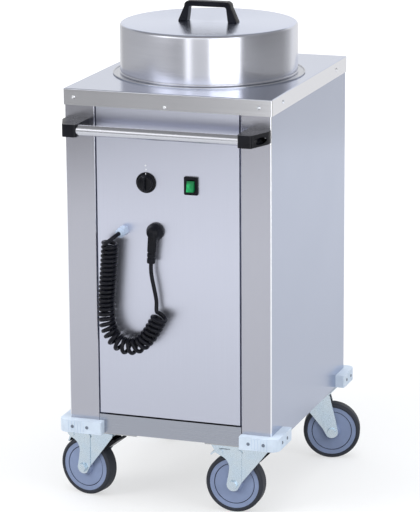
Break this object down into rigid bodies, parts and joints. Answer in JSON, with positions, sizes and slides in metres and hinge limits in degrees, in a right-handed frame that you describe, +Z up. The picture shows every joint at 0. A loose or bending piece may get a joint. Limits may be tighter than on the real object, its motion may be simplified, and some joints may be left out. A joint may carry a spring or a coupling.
{
  "type": "heated plate dispenser cart",
  "caption": "Mobile heated plate dispenser with a lidded spring-lift plate well, push bar, thermostat knob, rocker switch, curly lead with angled plug and swivel casters.",
  "frame": {"origin": "on the floor under the centre of the cabinet", "axes": "+Z up, -Y the front with the controls and the push bar, +X to the right seen from the front"},
  "size_m": [0.5488, 0.6354, 1.0415],
  "materials": {
    "stainless": "satin brushed",
    "panel_steel": "fine brushed, lighter",
    "lid_steel": "polished spun",
    "zinc": "bright zinc plated",
    "fastener": "bright",
    "black_moulding": "satin moulded",
    "knob_moulding": "semi-gloss",
    "bumper_moulding": "matt moulded, ribbed",
    "wheel_core": "light grey moulded",
    "tyre_rubber": "grey non-marking",
    "green_lens": "translucent lens",
    "gland_moulding": "smooth moulded",
    "cord_sheath": "semi-matt black sheath",
    "heater_sheath": "oxidised",
    "spring_wire": "bright"
  },
  "bodies": {
    "cabinet": {"left_side_panel": "stainless", "right_side_panel": "stainless", "bottom_rail": "stainless", "rear_panel": "stainless", "top_plate": "stainless", "base_plate": "stainless", "front_panel": "panel_steel", "plate_tube": "stainless", "guide_rods": "stainless", "push_bar": "stainless", "carrier_springs": "spring_wire", "heating_element": "heater_sheath", "left_bar_bracket": "black_moulding", "right_bar_bracket": "black_moulding", "cabinet_screws": "fastener", "bumper_screws": "fastener", "thermostat": "black_moulding", "switch_housing": "black_moulding", "cable_gland": "gland_moulding", "gland_nut": "gland_moulding", "cord_gland_end": "cord_sheath", "cord_coil": "cord_sheath", "cord_plug_end": "cord_sheath", "plug": "black_moulding", "plug_holder": "black_moulding", "front_left_bumper": "bumper_moulding", "front_left_caster_plate": "zinc", "front_right_bumper": "bumper_moulding", "front_right_caster_plate": "zinc", "rear_right_bumper": "bumper_moulding", "rear_right_caster_plate": "zinc", "rear_left_bumper": "bumper_moulding", "rear_left_caster_plate": "zinc", "caster_bolts": "zinc"},
    "lid": {"lid": "lid_steel", "lid_handle": "black_moulding", "lid_handle_screws": "fastener"},
    "knob": {"knob": "knob_moulding"},
    "rocker": {"rocker": "green_lens"},
    "carrier": {"plate_carrier": "stainless"},
    "front_left_swivel": {"front_left_fork": "zinc", "front_left_axle": "fastener"},
    "front_left_roller": {"front_left_wheel": "wheel_core", "front_left_tyre": "tyre_rubber"},
    "front_right_swivel": {"front_right_fork": "zinc", "front_right_axle": "fastener"},
    "front_right_roller": {"front_right_wheel": "wheel_core", "front_right_tyre": "tyre_rubber"},
    "rear_right_swivel": {"rear_right_fork": "zinc", "rear_right_axle": "fastener"},
    "rear_right_roller": {"rear_right_wheel": "wheel_core", "rear_right_tyre": "tyre_rubber"},
    "rear_left_swivel": {"rear_left_fork": "zinc", "rear_left_axle": "fastener"},
    "rear_left_roller": {"rear_left_wheel": "wheel_core", "rear_left_tyre": "tyre_rubber"},
    "front_left_pedal": {"front_left_brake_pedal": "black_moulding"},
    "front_left_shoe": {"front_left_brake_shoe": "zinc"},
    "front_right_pedal": {"front_right_brake_pedal": "black_moulding"},
    "front_right_shoe": {"front_right_brake_shoe": "zinc"}
  },
  "joints": [
    {"name": "lid_lift", "type": "slide", "parent": "cabinet", "child": "lid", "axis": [0, 0, 1], "range_m": [0, 0.15]},
    {"name": "knob_turn", "type": "hinge", "parent": "cabinet", "child": "knob", "pos_m": [-0.046, -0.2622, 0.706], "axis": [0, 1, 0], "range_deg": [0, 270]},
    {"name": "rocker_press", "type": "hinge", "parent": "cabinet", "child": "rocker", "pos_m": [0.0515, -0.2572, 0.706], "axis": [1, 0, 0], "range_deg": [0, 13]},
    {"name": "carrier_slide", "type": "slide", "parent": "cabinet", "child": "carrier", "axis": [0, 0, -1], "range_m": [0, 0.42], "stiffness_N_per_m": 150, "springref_m": -0.35, "deforming": ["carrier_springs"]},
    {"name": "front_left_swivel_turn", "type": "hinge", "parent": "cabinet", "child": "front_left_swivel", "pos_m": [-0.1678, -0.197, 0.15], "axis": [0, 0, 1], "continuous": true},
    {"name": "front_left_wheel_roll", "type": "hinge", "parent": "front_left_swivel", "child": "front_left_roller", "pos_m": [-0.21128, -0.18664, 0.0625], "axis": [0.2317, 0.9728, 0], "continuous": true},
    {"name": "front_right_swivel_turn", "type": "hinge", "parent": "cabinet", "child": "front_right_swivel", "pos_m": [0.1678, -0.197, 0.15], "axis": [0, 0, 1], "continuous": true},
    {"name": "front_right_wheel_roll", "type": "hinge", "parent": "front_right_swivel", "child": "front_right_roller", "pos_m": [0.12311, -0.1977, 0.0625], "axis": [-0.0157, 0.9999, 0], "continuous": true},
    {"name": "rear_right_swivel_turn", "type": "hinge", "parent": "cabinet", "child": "rear_right_swivel", "pos_m": [0.1678, 0.197, 0.15], "axis": [0, 0, 1], "continuous": true},
    {"name": "rear_right_wheel_roll", "type": "hinge", "parent": "rear_right_swivel", "child": "rear_right_roller", "pos_m": [0.21102, 0.20842, 0.0625], "axis": [0.2554, -0.9668, 0], "continuous": true},
    {"name": "rear_left_swivel_turn", "type": "hinge", "parent": "cabinet", "child": "rear_left_swivel", "pos_m": [-0.1678, 0.197, 0.15], "axis": [0, 0, 1], "continuous": true},
    {"name": "rear_left_wheel_roll", "type": "hinge", "parent": "rear_left_swivel", "child": "rear_left_roller", "pos_m": [-0.17556, 0.24102, 0.0625], "axis": [0.9848, 0.1736, 0], "continuous": true},
    {"name": "front_left_pedal_press", "type": "hinge", "parent": "front_left_swivel", "child": "front_left_pedal", "pos_m": [-0.19698, -0.19005, 0.134], "axis": [0.2317, 0.9728, 0], "range_deg": [-8, 0]},
    {"name": "front_left_shoe_swing", "type": "hinge", "parent": "front_left_swivel", "child": "front_left_shoe", "pos_m": [-0.23784, -0.18031, 0.132], "axis": [0.2317, 0.9728, 0], "range_deg": [0, 30]},
    {"name": "front_right_pedal_press", "type": "hinge", "parent": "front_right_swivel", "child": "front_right_pedal", "pos_m": [0.1378, -0.19747, 0.134], "axis": [-0.0157, 0.9999, 0], "range_deg": [0, 8]},
    {"name": "front_right_shoe_swing", "type": "hinge", "parent": "front_right_swivel", "child": "front_right_shoe", "pos_m": [0.09581, -0.19813, 0.132], "axis": [-0.0157, 0.9999, 0], "range_deg": [-30, 0]}
  ],
  "couplings": [
    {"joint": "front_left_shoe_swing", "follows": "front_left_pedal_press", "ratio": -3.75},
    {"joint": "front_right_shoe_swing", "follows": "front_right_pedal_press", "ratio": -3.75}
  ]
}
